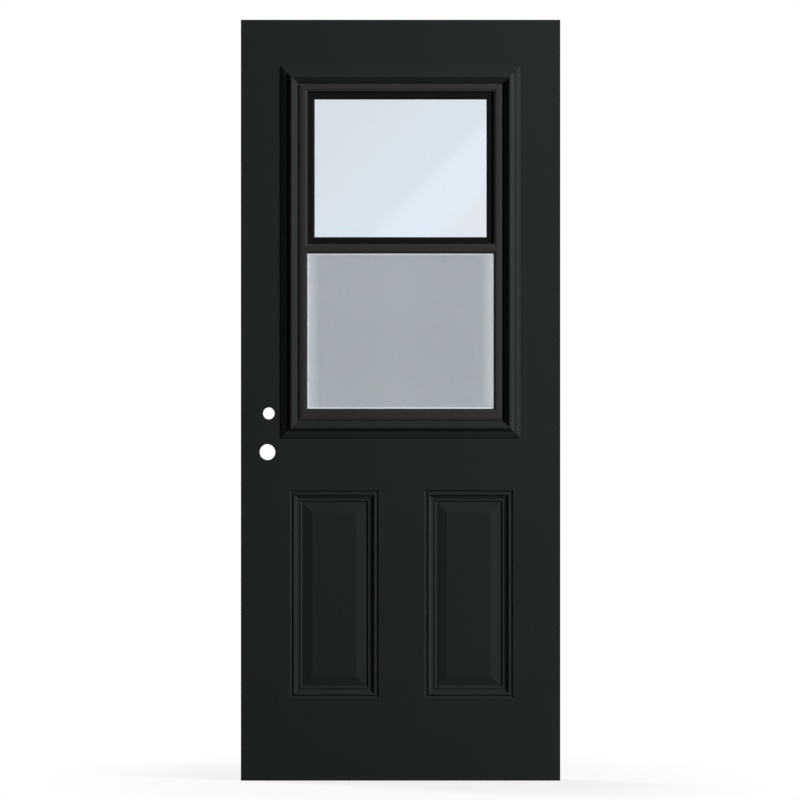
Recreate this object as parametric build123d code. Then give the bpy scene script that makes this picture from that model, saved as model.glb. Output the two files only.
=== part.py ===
"""Entry door leaf with a sliding vent window in its upper half and two raised panels below.

The outside of the door faces -Y, +Z is up and the origin is the middle of the leaf's bottom edge.
The lock edge is at -X and the hinge edge at +X. All sizes are in millimetres.
"""
import os

from build123d import *

# Door leaf
door_width = 853.0
door_height = 2032.0
door_thickness = 44.45
skin_gauge = 0.8
skin_return = 9.0          # how far a skin wraps round each long edge
stile_width = 32.0
top_rail_height = 30.0
bottom_rail_height = 40.0

# Lock edge
lockset_bore_radius = 21.4
lockset_backset = 70.5
lockset_height = 877.2
cylinder_bore_radius = 16.0
cylinder_backset = 74.1
cylinder_rise = 103.6      # from the lockset bore up to the cylinder bore
lockset_latch_radius = 12.7
cylinder_latch_radius = 11.1
faceplate_height = 57.15
faceplate_width = 25.4
faceplate_depth = 3.0
faceplate_corner = 6.35
faceplate_screw_spacing = 41.3
faceplate_pilot_radius = 1.4
faceplate_pilot_depth = 16.0
lock_block_width = 86.0
lock_block_height = 370.0

# Hinge edge
hinge_height = 101.6
hinge_leaf_width = 38.1
hinge_leaf_depth = 2.5
hinge_corner = 15.9
hinge_top_margin = 177.8
hinge_bottom_margin = 279.4
hinge_outer_spacing = 76.0
hinge_inner_spacing = 26.0
hinge_outer_inset = 14.0   # from the room face to the outer pair of screws
hinge_inner_inset = 27.0
hinge_pilot_radius = 1.6
hinge_pilot_depth = 26.0

# Raised panels pressed in both skins. The moulding is given from its outer edge inwards.
panel_bottom = 220.5
panel_lock_margin = 131.6
panel_hinge_margin = 126.4
panel_gap = 123.0          # between the two panels
lock_rail = 139.5          # between the panels and the window
quirk_inset = 5.0          # narrow groove round the outside
quirk_depth = 2.2
quirk_bow = 0.5
quirk_floor = 1.0
bead_inset = 9.5
bead_depth = 0.6
bead_bow = -0.5
bead_width = 2.5
cove_inset = 23.5
cove_depth = 5.2
cove_bow = 1.0
step_inset = 28.0
step_depth = 4.6
step_bow = -0.4
groove_inset = 31.5
groove_depth = 6.6
groove_floor = 3.0
bevel_width = 25.0
field_depth = 2.4

# Moulded frames that clamp the window unit in the leaf
lite_height = 993.0
lite_side_margin = 106.5
lite_top_margin = 124.0
moulding_width = 45.0
moulding_height = 13.0
moulding_edge = 1.4
ledge_start = 11.0
ledge_end = 15.5
ledge_height = 6.0
ledge_drop = 0.4
ogee_bow = 0.6
crest_start = 23.0
crest_end = 33.0
crest_drop = 1.8
crest_bow = -1.8
moulding_wall = 3.0
lip_height = 4.8
lip_round = 0.8
lip_seat = 1.8             # the lip clamps the window unit this far above the skin
lip_pad = 4.0
return_wall = 2.5
return_inset = 22.5
return_gap = 0.5           # each frame stops this short of the middle of the leaf
seal_thickness = 0.8
seal_width = 12.0
seal_inset = 8.0
cutout_clearance = 0.5
boss_width = 8.4
boss_inset = 28.0
clamp_screw_radius = 1.8
clamp_screw_clearance = 0.3
clamp_screw_grip = 0.05
clamp_screw_length = 50.0
clamp_head_radius = 3.2
clamp_head_height = 2.4
plug_radius = 3.4
plug_height = 3.0
plug_clearance = 0.1
plug_sink = 0.9
screws_per_side = 4
screws_per_end = 2
screw_end_margin = 100.0

# Window unit: extruded surround with a screen channel, a channel for the fixed light and a sash track
vent_lap = 12.0            # how far the unit runs under the moulded lip
border_gap = 4.0           # shadow groove between the moulding and the surround
border_height = 5.3        # the surround's face above the skin
border_fall = 1.2          # the face falls this much towards its outer edge ...
border_fall_width = 7.0    # ... over this width
border_chamfer = 6.0
border_chamfer_drop = 2.3
jamb_face = 22.5
head_face = 18.5
sill_face = 29.5
meeting_face = 25.0
lower_opening_height = 414.5
wall = 2.5
track_wall = 3.0
front_plate = 3.3
channel_inset = 3.5        # the outer channels' floor, inside the surround's outer edge
fin_thickness = 1.5        # fin between the screen's channel and the fixed light's
fin_reach = 7.0
parting_front = 4.0        # the parting wall runs from here ...
parting_back = 1.5         # ... to here, both outside the middle of the leaf
parting_reach = 13.0
track_back = 21.5          # room face of the sash track, inside the middle of the leaf
inner_face = 9.0           # width of the surround's face on the room side
inner_bevel = 1.5
screen_sill_depth = 21.5   # the screen's channel in the sill, below the top of the sill's face
dam_height = 15.0          # the sill's dam stands this far above the sash floor
rail_web = 2.5
rail_web_drop = 4.5        # the web's top below the top of the meeting rail
interlock_height = 14.0    # the meeting rail's back plate above its face
port_radius = 4.0
port_sink = 0.6            # how deep a screw port is rooted in its wall
port_y = 11.0
frame_screw_radius = 1.65
frame_screw_clearance = 0.3
short_screw = 22.0
long_screw = 36.0
frame_head_radius = 3.4
frame_head_height = 1.8
screw_grip = 0.05

# Sealed glass units
pane = 3.0
cavity = 5.0
edge_seal = 4.0
spacer_width = 7.6
glass_bite = 10.8
gasket = 1.0
gasket_leg = 9.3

# Fixed upper light
upper_side = 18.3          # visible width of the dark bars round the fixed glass
upper_top = 20.3
upper_foot = 18.0
upper_front = 21.5
upper_glass = 18.0
light_play = 0.4
light_tape = 0.8
tape_width = 5.5
setting_block = 2.0
setting_block_length = 100.0
setting_block_depth = 10.0
bar_bevel = 5.0
bar_bevel_drop = 1.2

# Insect screen
screen_bar = 17.0
screen_depth = 8.0
screen_play = 0.5
screen_wall = 1.2
spline_groove = 4.0
spline_inset = 5.7
spline_depth = 4.0
spline_radius = 1.6
spline_play = 0.1
mesh_gauge = 0.5
mesh_fold = 3.6
mesh_columns = 10
mesh_rows = 12
mesh_web = 5.0
key_arm = 24.0
key_play = 0.2

# Sliding sash
sash_side_play = 0.5
sash_play = 0.9            # before and behind the sash in its track
sash_glass = 4.6           # the glass behind the sash's front
sash_hidden = 1.5          # the sash's sight line lies this far behind the surround's
sash_rise = 3.0            # closed, the sash stands this far above the floor on its bulb seal
check_rail_lap = 3.0       # its top rail stands this far above the meeting rail's face
pull_drop = 7.5            # below the top of the bottom rail
pull_reach = 10.0
pull_thickness = 2.2
pull_width = 380.0
pull_hook = 3.0
pile_width = 5.0
pile_depth = 1.5
pile_play = 0.3
pile_margin = 8.0
front_pile_inset = 2.0     # from the parting wall's edge
bulb_width = 8.0
bulb_play = 0.3
bulb_stem = 1.6
bulb_stem_depth = 2.0
glide_height = 24.0
glide_width = 10.0
glide_depth = 2.2
glide_proud = 0.2
glide_margin = 30.0
stop_drop = 48.5           # from the ceiling over the track down to the stops
stop_height = 14.0
stop_width = 20.0
stop_play = 0.5
vent_positions = 4         # notches up each jamb, the closed position first

# Slide latches on the sash's bottom rail
latch_height = 13.0
latch_above_edge = 7.0
latch_length = 36.0
latch_plate = 1.5
latch_guide = 1.3
latch_cover = 0.8
latch_standoff = 1.0
latch_throw = 7.0
slider_length = 34.0
slider_thickness = 3.0
slider_play = 0.2
slider_tip = 1.5
pad_length = 12.0
pad_height = 4.0
pad_proud = 3.2
pad_inset = 5.0
pad_play = 0.5
notch_play = 1.0

# Levels worked out from the sizes above
half_width = door_width / 2
face = door_thickness / 2
core_face = face - skin_gauge
stile_x = half_width - stile_width
cylinder_height = lockset_height + cylinder_rise
lockset_x = lockset_backset - half_width
cylinder_x = cylinder_backset - half_width

lite_half = half_width - lite_side_margin
lite_top = door_height - lite_top_margin
lite_bottom = lite_top - lite_height
panel_width = (door_width - panel_lock_margin - panel_hinge_margin - panel_gap) / 2
panel_height = lite_bottom - lock_rail - panel_bottom
first_panel = panel_lock_margin + panel_width / 2 - half_width
panel_centres = [first_panel, first_panel + panel_width + panel_gap]
bevel_end = groove_inset + groove_floor + bevel_width
cutout_inset = return_inset - cutout_clearance
crest_height = moulding_height - crest_drop

vent_inset = moulding_width - vent_lap
vent_half = lite_half - vent_inset
vent_bottom = lite_bottom + vent_inset
vent_top = lite_top - vent_inset
border_inset = moulding_width + border_gap
border_half = lite_half - border_inset
border_bottom = lite_bottom + border_inset
border_top = lite_top - border_inset
opening_half = border_half - jamb_face
sill_top = border_bottom + sill_face
rail_bottom = sill_top + lower_opening_height
rail_top = rail_bottom + meeting_face
head_bottom = border_top - head_face
flange = face + lip_seat
border = face + border_height
front_channel = border - front_plate
channel_half = border_half - channel_inset
channel_top = border_top - channel_inset
parting_half = border_half - parting_reach
track_half = vent_half - track_wall
inner_half = border_half - inner_face
screen_floor = sill_top - screen_sill_depth
fin_front = front_channel - screen_depth - 2 * screen_play
fin_back = fin_front - fin_thickness
web_top = rail_top - rail_web_drop
web_bottom = web_top - rail_web
sill_port = vent_bottom + wall + port_radius - port_sink
head_port = vent_top - wall - port_radius + port_sink
rail_port = web_bottom - port_radius + port_sink
unit_thickness = 2 * pane + cavity
pocket_depth = glass_bite + gasket

light_half = channel_half - light_play
light_bottom = web_top + setting_block
light_top = channel_top - light_play
sight_half = opening_half - upper_side
sight_bottom = rail_top + upper_foot
sight_top = head_bottom - upper_top

screen_half = channel_half - screen_play
screen_bottom = screen_floor + screen_play
screen_top = web_bottom - screen_play
screen_front = screen_play - front_channel
groove_start = screen_bar - spline_inset - spline_groove
groove_end = screen_bar - spline_inset

sash_front = sash_play - parting_back
sash_back = track_back - sash_play
sash_half = track_half - sash_side_play
sash_bottom = border_bottom + sash_rise
sash_top = rail_top + check_rail_lap
sash_travel = border_top - stop_drop - stop_height - stop_play - sash_top
sash_sight_half = opening_half + sash_hidden
sash_sight_bottom = sill_top - sash_hidden
sash_sight_top = rail_bottom + sash_hidden
latch_bottom = sash_bottom + latch_above_edge
latch_tip = inner_half - latch_standoff
slider_bottom = latch_bottom + latch_guide + slider_play
slider_top = latch_bottom + latch_height - latch_guide - slider_play
slider_front = sash_back + latch_plate + slider_play
slider_back = slider_front + slider_thickness


def contour(start, *steps):
    """A flat outline. A step is a point reached by a line, or a point and a bow reached by an arc."""
    edges = []
    here = start
    for step in steps:
        if len(step) == 3:
            edges.append(SagittaArc(here, step[:2], step[2]))
        else:
            edges.append(Line(here, step))
        here = step[:2]
    edges.append(Line(here, start))
    return make_face(edges)


def box_outline(x_range, y_range):
    """A rectangle between two limits on each axis."""
    (left, right), (low, high) = x_range, y_range
    return Pos((left + right) / 2, (low + high) / 2) * Rectangle(right - left, high - low)


def about(middle, width):
    """The two limits of a width about its middle."""
    return (middle - width / 2, middle + width / 2)


def block(x_range, y_range, z_range):
    """A box between two limits on each axis."""
    low, high = z_range
    return Pos(0, 0, low) * extrude(box_outline(x_range, y_range), high - low)


def upright(section, bottom, top):
    """A bar that stands from bottom to top, with its section drawn in x and y."""
    return Pos(0, 0, bottom) * extrude(section, top - bottom, dir=(0, 0, 1))


def level(section, left, right):
    """A bar that lies along x from left to right, with its section drawn in y and z."""
    return extrude(Plane.YZ.offset(left) * section, right - left, dir=(1, 0, 0))


def rod(radius, start, end):
    """A round rod between two points."""
    path = Vector(*end) - Vector(*start)
    return extrude(Plane(origin=start, z_dir=path) * Circle(radius), path.length)


def shank(radius, start, end):
    """A rod with eight flats, for screws and their holes where they are hidden."""
    path = Vector(*end) - Vector(*start)
    return extrude(Plane(origin=start, z_dir=path) * RegularPolygon(radius, 8), path.length)


def hex_screw(radius, head_radius, head_height, tip, seat):
    """A screw from its tip to its hexagonal head's seat."""
    along = (Vector(*seat) - Vector(*tip)).normalized()
    head = extrude(Plane(origin=seat, z_dir=along) * RegularPolygon(head_radius, 6), head_height)
    return shank(radius, tip, seat) + head


def other_side(shape):
    """The shape's mirror image across the middle of the door."""
    return mirror(shape, Plane.YZ)


def room_side(shape):
    """The shape's mirror image on the room side of the leaf."""
    return mirror(shape, Plane.XZ)


def band(half, bottom, top, width, depth):
    """A flat rectangular ring, with its width measured inwards."""
    outer = block((-half, half), depth, (bottom, top))
    return outer - block((width - half, half - width), depth, (bottom + width, top - width))


def mitred_bars(sections, half, bottom, top, reach):
    """Four bars round a rectangle, mitred at its corners: left, right, bottom and top.

    The sections are those of the sides, the bottom and the top. In a section x runs inwards from the
    rectangle's edge and y is the depth in the door.
    """
    side, foot, head = sections
    depth = 2 * door_thickness
    side_limits = Polygon((-half, bottom), (reach - half, bottom + reach), (reach - half, top - reach),
                          (-half, top), align=None)
    foot_limits = Polygon((-half, bottom), (half, bottom), (half - reach, bottom + reach),
                          (reach - half, bottom + reach), align=None)
    head_limits = Polygon((-half, top), (half, top), (half - reach, top - reach),
                          (reach - half, top - reach), align=None)
    left = Pos(-half, 0, 0) * upright(side, bottom, top)
    left &= extrude(Plane.XZ * side_limits, depth, both=True)
    foot_plane = Plane((half, 0, bottom), x_dir=(0, 0, 1), z_dir=(-1, 0, 0))
    lower = extrude(foot_plane * foot, 2 * half, dir=(-1, 0, 0))
    lower &= extrude(Plane.XZ * foot_limits, depth, both=True)
    head_plane = Plane((-half, 0, top), x_dir=(0, 0, -1), z_dir=(1, 0, 0))
    upper = extrude(head_plane * head, 2 * half, dir=(1, 0, 0))
    upper &= extrude(Plane.XZ * head_limits, depth, both=True)
    return [left, other_side(left), lower, upper]


def mitred_ring(section, half, bottom, top, reach):
    """Four mitred bars of one section, as one piece."""
    left, right, lower, upper = mitred_bars([section] * 3, half, bottom, top, reach)
    return left + lower + right + upper


# Leaf: pressed skins, timber edges and foam core


def panel_steps(set_in):
    """The steps of a raised panel's moulding, from its outer edge to the end of its bevel."""
    zero = set_in - face
    return [
        (quirk_inset, zero + quirk_depth, quirk_bow),
        (quirk_inset + quirk_floor, zero + quirk_depth),
        (bead_inset, zero + bead_depth, bead_bow),
        (bead_inset + bead_width, zero + bead_depth),
        (cove_inset, zero + cove_depth, cove_bow),
        (step_inset, zero + step_depth, step_bow),
        (groove_inset, zero + groove_depth),
        (groove_inset + groove_floor, zero + groove_depth),
        (bevel_end, zero + field_depth),
    ]


def pressed_panels(set_in, level_out):
    """What both raised panels take out of a flat face, between level_out and the pressed surface."""
    section = contour((0.0, set_in - face), *panel_steps(set_in), (bevel_end, level_out), (0.0, level_out))
    ring = mitred_ring(section, panel_width / 2, panel_bottom, panel_bottom + panel_height, bevel_end)
    field_half = panel_width / 2 - bevel_end
    field = block((-field_half, field_half), (level_out, field_depth + set_in - face),
                  (panel_bottom + bevel_end, panel_bottom + panel_height - bevel_end))
    first, second = [Pos(centre, 0, 0) * (ring + field) for centre in panel_centres]
    return first + second


def window_cutout():
    half = lite_half - cutout_inset
    return block((-half, half), (-face, face), (lite_bottom + cutout_inset, lite_top - cutout_inset))


def cross_bores():
    lockset = rod(lockset_bore_radius, (lockset_x, -face, lockset_height), (lockset_x, face, lockset_height))
    cylinder = rod(cylinder_bore_radius, (cylinder_x, -face, cylinder_height),
                   (cylinder_x, face, cylinder_height))
    return lockset + cylinder


def latch_bores():
    lockset = rod(lockset_latch_radius, (-half_width, 0, lockset_height), (lockset_x, 0, lockset_height))
    cylinder = rod(cylinder_latch_radius, (-half_width, 0, cylinder_height), (cylinder_x, 0, cylinder_height))
    return lockset + cylinder


def faceplate_mortise(middle):
    """The recess for a latch's faceplate and its two screw pilots."""
    plate = Plane.YZ.offset(-half_width) * Pos(0, middle) * RectangleRounded(
        faceplate_width, faceplate_height, faceplate_corner)
    cut = extrude(plate, faceplate_depth)
    for side in (-1, 1):
        z = middle + side * faceplate_screw_spacing / 2
        cut += rod(faceplate_pilot_radius, (-half_width, 0, z), (faceplate_pilot_depth - half_width, 0, z))
    return cut


def hinge_levels():
    low = hinge_bottom_margin + hinge_height / 2
    high = door_height - hinge_top_margin - hinge_height / 2
    return [low, (low + high) / 2, high]


def hinge_mortise(z):
    """One leaf recess with rounded inner corners, and its four screw pilots."""
    outline = Pos(face - hinge_leaf_width / 2, z) * Rectangle(hinge_leaf_width, hinge_height)
    corners = outline.vertices().group_by(Axis.X)[0]
    floor = Plane.YZ.offset(half_width - hinge_leaf_depth)
    cut = extrude(floor * fillet(corners, hinge_corner), hinge_leaf_depth)
    pairs = ((hinge_outer_inset, hinge_outer_spacing), (hinge_inner_inset, hinge_inner_spacing))
    for inset, spacing in pairs:
        for side in (-1, 1):
            hole = z + side * spacing / 2
            cut += rod(hinge_pilot_radius, (half_width, face - inset, hole),
                       (half_width - hinge_pilot_depth, face - inset, hole))
    return cut


def outside_skin():
    """Pressed steel sheet with both long edges folded round the stiles."""
    sheet = block((-half_width, half_width), (-face, -core_face), (0, door_height))
    fold = block((half_width - skin_gauge, half_width), (-face, skin_return - face), (0, door_height))
    metal = sheet + fold + other_side(fold) + pressed_panels(skin_gauge, -face)
    return metal - pressed_panels(0.0, -border) - window_cutout() - cross_bores()


def stile_section():
    """Timber edge, rebated so that the folded skins lie flush."""
    rebate = face - skin_return
    folded = half_width - skin_gauge
    return contour((stile_x, -core_face), (folded, -core_face), (folded, -rebate), (half_width, -rebate),
                   (half_width, rebate), (folded, rebate), (folded, core_face), (stile_x, core_face))


def foam_core(lock_blank):
    core = block((-stile_x, stile_x), (-core_face, core_face),
                 (bottom_rail_height, door_height - top_rail_height))
    pressed = pressed_panels(skin_gauge, -face)
    return core - window_cutout() - lock_blank - pressed - room_side(pressed)


def leaf():
    skin = outside_skin()
    inside = room_side(skin)
    stile = upright(stile_section(), 0, door_height)
    hinge_stile = stile
    for mortise in [hinge_mortise(z) for z in hinge_levels()]:
        inside -= mortise
        hinge_stile -= mortise
    lock_stile = other_side(stile) - latch_bores()
    for middle in (lockset_height, cylinder_height):
        lock_stile -= faceplate_mortise(middle)
    middle = (lockset_height + cylinder_height) / 2
    blank = block((-stile_x, lock_block_width - stile_x), (-core_face, core_face),
                  about(middle, lock_block_height))
    width, depth = (-stile_x, stile_x), (-core_face, core_face)
    return {
        "exterior_skin": skin,
        "interior_skin": inside,
        "hinge_stile": hinge_stile,
        "lock_stile": lock_stile,
        "lock_block": blank - cross_bores() - latch_bores(),
        "top_rail": block(width, depth, (door_height - top_rail_height, door_height)),
        "bottom_rail": block(width, depth, (0, bottom_rail_height)),
        "foam_core": foam_core(blank),
    }


# Moulded frames that clamp the window unit


def moulding_section():
    """Stepped outer slope, rounded crest, inner slope to the lip, and the wall that returns into the leaf."""
    underside = crest_height - moulding_wall
    return contour(
        (0, -face - seal_thickness),
        (0, -face - moulding_edge),
        (ledge_start, -face - ledge_height + ledge_drop),
        (ledge_end, -face - ledge_height),
        (crest_start, -face - crest_height, ogee_bow),
        (crest_end, -face - crest_height, crest_bow),
        (moulding_width - lip_round, -face - lip_height),
        (moulding_width, -face - lip_height + lip_round),
        (moulding_width, -face - lip_seat),
        (moulding_width - lip_pad, -face - lip_seat),
        (crest_end, -face - underside),
        (return_inset + return_wall, -face - underside),
        (return_inset + return_wall, -return_gap),
        (return_inset, -return_gap),
        (return_inset, -face - seal_thickness),
    )


def clamp_points():
    """Where the clamping screws stand, as (x, z)."""
    x = lite_half - boss_inset
    low = lite_bottom + boss_inset
    high = lite_top - boss_inset
    side_step = (high - low - 2 * screw_end_margin) / (screws_per_side - 1)
    end_step = (2 * x - 2 * screw_end_margin) / (screws_per_end - 1)
    points = []
    for count in range(screws_per_side):
        z = low + screw_end_margin + count * side_step
        points += [(-x, z), (x, z)]
    for count in range(screws_per_end):
        across = screw_end_margin - x + count * end_step
        points += [(across, low), (across, high)]
    return points


def moulded_frames():
    """Both frames, their seals, and the screws and plugs that hold them together."""
    ring = mitred_ring(moulding_section(), lite_half, lite_bottom, lite_top, moulding_width)
    crown = face + crest_height
    root = crown - moulding_wall / 2
    mouth = face + moulding_height
    plug_top = mouth - plug_sink
    head_top = plug_top - plug_height
    head_seat = head_top - clamp_head_height
    tip = head_seat - clamp_screw_length
    front, back = ring, room_side(ring)
    screws, plugs = [], []
    for x, z in clamp_points():
        front += block(about(x, boss_width), (-root, -return_gap), about(z, boss_width))
        front -= shank(clamp_screw_radius + clamp_screw_grip, (x, tip, z), (x, -return_gap, z))
        back += block(about(x, boss_width), (return_gap, root), about(z, boss_width))
        back -= shank(clamp_screw_radius + clamp_screw_clearance, (x, return_gap, z), (x, crown, z))
        back -= rod(plug_radius, (x, head_seat, z), (x, mouth, z))
        screws.append(hex_screw(clamp_screw_radius, clamp_head_radius, clamp_head_height, (x, tip, z),
                                (x, head_seat, z)))
        plugs.append(rod(plug_radius - plug_clearance, (x, head_top, z), (x, plug_top, z)))
    strip = box_outline((seal_inset, seal_inset + seal_width), (-face - seal_thickness, -face))
    seal = mitred_ring(strip, lite_half, lite_bottom, lite_top, seal_inset + seal_width)
    return {
        "exterior_lite_frame": front,
        "interior_lite_frame": back,
        "exterior_frame_seal": seal,
        "interior_frame_seal": room_side(seal),
        "lite_frame_screws": Compound(children=screws),
        "screw_plugs": Compound(children=plugs),
    }


# Surround of the window unit


def surround_outline(low, high, border_low, border_high):
    """Depth of the whole surround against one of its two directions: flanges outside, raised faces inside."""
    half = [
        (low, -flange), (border_low, -flange), (border_low, -border + border_fall),
        (border_low + border_fall_width, -border), (border_high - border_fall_width, -border),
        (border_high, -border + border_fall), (border_high, -flange), (high, -flange),
    ]
    return half + [(along, -depth) for along, depth in reversed(half)]


def surround_limits():
    """The space that the four surround bars keep to, mitred at its outer corners."""
    across = Polygon(*surround_outline(-vent_half, vent_half, -border_half, border_half), align=None)
    along = surround_outline(vent_bottom, vent_top, border_bottom, border_top)
    rising = Polygon(*[(depth, z) for z, depth in along], align=None)
    return upright(across, vent_bottom, vent_top) & level(rising, -vent_half, vent_half)


def jamb_section():
    """Section of the jamb at +X: screen channel, channel of the fixed light, parting wall and sash track."""
    return contour(
        (opening_half, border_chamfer_drop - border), (opening_half + border_chamfer, -border),
        (vent_half, -border), (vent_half, border), (inner_half + inner_bevel, border),
        (inner_half, border - inner_bevel), (inner_half, track_back), (track_half, track_back),
        (track_half, -parting_back), (parting_half, -parting_back), (parting_half, -parting_front),
        (channel_half, -parting_front), (channel_half, -fin_back), (channel_half - fin_reach, -fin_back),
        (channel_half - fin_reach, -fin_front), (channel_half, -fin_front), (channel_half, -front_channel),
        (opening_half, -front_channel),
    )


def sill_section():
    """Screen channel, drained floor, dam, sash floor and the low lip on the room side."""
    dam_top = border_bottom + dam_height
    fin_top = screen_floor + fin_reach
    lip_top = border_bottom + inner_face
    return contour(
        (-border, vent_bottom), (-border, sill_top - border_chamfer),
        (border_chamfer_drop - border, sill_top), (-front_channel, sill_top),
        (-front_channel, screen_floor), (-fin_front, screen_floor),
        (-fin_front, fin_top), (-fin_back, fin_top), (-fin_back, screen_floor),
        (-parting_front, screen_floor), (-parting_front, dam_top), (-parting_back, dam_top),
        (-parting_back, border_bottom),
        (track_back, border_bottom), (track_back, lip_top), (border - inner_bevel, lip_top),
        (border, lip_top - inner_bevel), (border, vent_bottom),
    )


def head_section():
    """The same channels as the jamb's, closed by a lower ceiling over the sash track."""
    lip_bottom = border_top - inner_face
    return contour(
        (-border, vent_top), (-border, head_bottom + border_chamfer),
        (border_chamfer_drop - border, head_bottom), (-front_channel, head_bottom),
        (-front_channel, channel_top), (-fin_front, channel_top),
        (-fin_front, channel_top - fin_reach), (-fin_back, channel_top - fin_reach), (-fin_back, channel_top),
        (-parting_front, channel_top), (-parting_front, border_top - parting_reach),
        (-parting_back, border_top - parting_reach), (-parting_back, border_top), (track_back, border_top),
        (track_back, lip_bottom), (border - inner_bevel, lip_bottom), (border, lip_bottom + inner_bevel),
        (border, vent_top),
    )


def meeting_rail_section():
    """Face and back plate joined by a web, with a screw port under the web."""
    plate_top = rail_top + interlock_height
    profile = contour(
        (-border, rail_bottom + border_chamfer), (border_chamfer_drop - border, rail_bottom),
        (-front_channel, rail_bottom), (-front_channel, web_bottom), (-parting_front, web_bottom),
        (-parting_front, rail_bottom), (-parting_back, rail_bottom), (-parting_back, plate_top),
        (-parting_front, plate_top), (-parting_front, web_top), (-front_channel, web_top),
        (-front_channel, rail_top), (border_chamfer_drop - border, rail_top),
        (-border, rail_top - border_chamfer),
    )
    return profile + screw_ports([-port_y], rail_port)


def screw_ports(places, z):
    return Sketch() + [Pos(y, z) * Circle(port_radius) for y in places]


def hollow_level_bar(section, chambers, ports, port_z):
    """A head or sill: its section less its chambers, with screw ports inside them."""
    hollow = section - [box_outline(*chamber) for chamber in chambers]
    return hollow + screw_ports(ports, port_z)


def frame_screw_points():
    """The screws that join the surround, as (y, z, length)."""
    points = [(-port_y, rail_port, long_screw)]
    for z in (sill_port, head_port):
        points += [(port_y, z, short_screw), (-port_y, z, long_screw)]
    return points


def latch_notches():
    """Pockets behind the room face of the jamb at +X, one at each height where the latches hold the sash."""
    step = sash_travel / (vent_positions - 1)
    cuts = []
    for count in range(vent_positions):
        rise = count * step
        cuts.append(block((inner_half - notch_play, latch_tip + latch_throw + notch_play),
                          (sash_back, slider_back + slider_play),
                          (slider_bottom + rise - notch_play, slider_top + rise + notch_play)))
    return cuts


def surround():
    """Jambs over the full height, with the head, sill and meeting rail coped to them."""
    limits = surround_limits()
    outline = jamb_section()
    chamber = box_outline((channel_half + wall, vent_half - wall), (wall - flange, -parting_front))
    filled = upright(outline, vent_bottom, vent_top)
    jambs = filled + other_side(filled)
    jamb = upright(outline - chamber, vent_bottom, vent_top) & limits
    for notch in latch_notches():
        jamb -= notch
    screws = []
    for y, z, length in frame_screw_points():
        tip = (vent_half - length, y, z)
        seat = (vent_half, y, z)
        jamb -= shank(frame_screw_radius + frame_screw_clearance, tip, seat)
        screw = hex_screw(frame_screw_radius, frame_head_radius, frame_head_height, tip, seat)
        screws += [screw, other_side(screw)]
    low, high = vent_bottom + wall, vent_top - wall
    front, back = wall - flange, flange - wall
    screen_chamber = ((front, -parting_front - wall), (low, screen_floor - wall))
    sash_chamber = ((-parting_front, back), (low, border_bottom - wall))
    sill_profile = hollow_level_bar(
        sill_section(), [screen_chamber, sash_chamber], [-port_y, port_y], sill_port)
    head_profile = hollow_level_bar(
        head_section(), [((front, back), (border_top + wall, high))], [-port_y, port_y], head_port)
    sill = (level(sill_profile, -track_half, track_half) & limits) - jambs
    head = (level(head_profile, -track_half, track_half) & limits) - jambs
    rail = level(meeting_rail_section(), -channel_half, channel_half) - jambs
    pilots = []
    for y, z, length in frame_screw_points():
        pilot = shank(frame_screw_radius + screw_grip, (vent_half - length, y, z), (vent_half, y, z))
        pilots += [pilot, other_side(pilot)]
    stop = block((track_half - stop_width, track_half), (-parting_back, track_back),
                 (sash_top + sash_travel + stop_play, sash_top + sash_travel + stop_play + stop_height))
    return {
        "right_jamb": jamb,
        "left_jamb": other_side(jamb),
        "vent_sill": sill - pilots,
        "vent_head": head - pilots,
        "meeting_rail": rail - pilots,
        "frame_screws": Compound(children=screws),
        "sash_stops": Compound(children=[stop, other_side(stop)]),
    }


# Glazing shared by the fixed light and the sash


def glazing_bar(width, reach, depth, glass_front, back_drop):
    """Hollow bar with a pocket for the glass. Its sight edge is at x = reach and it is width wide."""
    front, back = depth
    pocket_front = glass_front - gasket
    pocket_back = glass_front + unit_thickness + gasket
    pocket_end = reach - pocket_depth
    profile = contour(
        (reach - width, front), (reach - bar_bevel, front), (reach, front + bar_bevel_drop),
        (reach, pocket_front), (pocket_end, pocket_front), (pocket_end, pocket_back), (reach, pocket_back),
        (reach, back - back_drop), (reach - bar_bevel, back), (reach - width, back),
    )
    return profile - box_outline((reach - width + wall, pocket_end - wall), (front + wall, back - wall))


def glazed_bars(widths, depth, glass_front, back_drop, sight):
    """Four mitred bars round a sight opening. The widths are those of the sides, the foot and the head."""
    half, bottom, top = sight
    side, foot, head = widths
    reach = max(widths)
    sections = [glazing_bar(width, reach, depth, glass_front, back_drop) for width in widths]
    bars = mitred_bars(sections, half + reach, bottom - reach, top + reach, reach)
    limits = block((-half - side, half + side), depth, (bottom - foot, top + head))
    return [bar & limits for bar in bars]


def sealed_unit(name, sight, front):
    """Two panes, the spacer and edge seal between them, and the gasket round them."""
    half, bottom, top = sight[0] + glass_bite, sight[1] - glass_bite, sight[2] + glass_bite
    gap = (front + pane, front + pane + cavity)
    back = front + unit_thickness
    full = block((-half, half), (front, back), (bottom, top))
    collar = band(half + gasket, bottom - gasket, top + gasket, gasket + gasket_leg,
                  (front - gasket, back + gasket))
    return {
        f"{name}_glass_outer": block((-half, half), (front, front + pane), (bottom, top)),
        f"{name}_glass_inner": block((-half, half), (front + pane + cavity, back), (bottom, top)),
        f"{name}_edge_seal": band(half, bottom, top, edge_seal, gap),
        f"{name}_spacer": band(half - edge_seal, bottom + edge_seal, top - edge_seal, spacer_width, gap),
        f"{name}_gasket": collar - full,
    }


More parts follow.
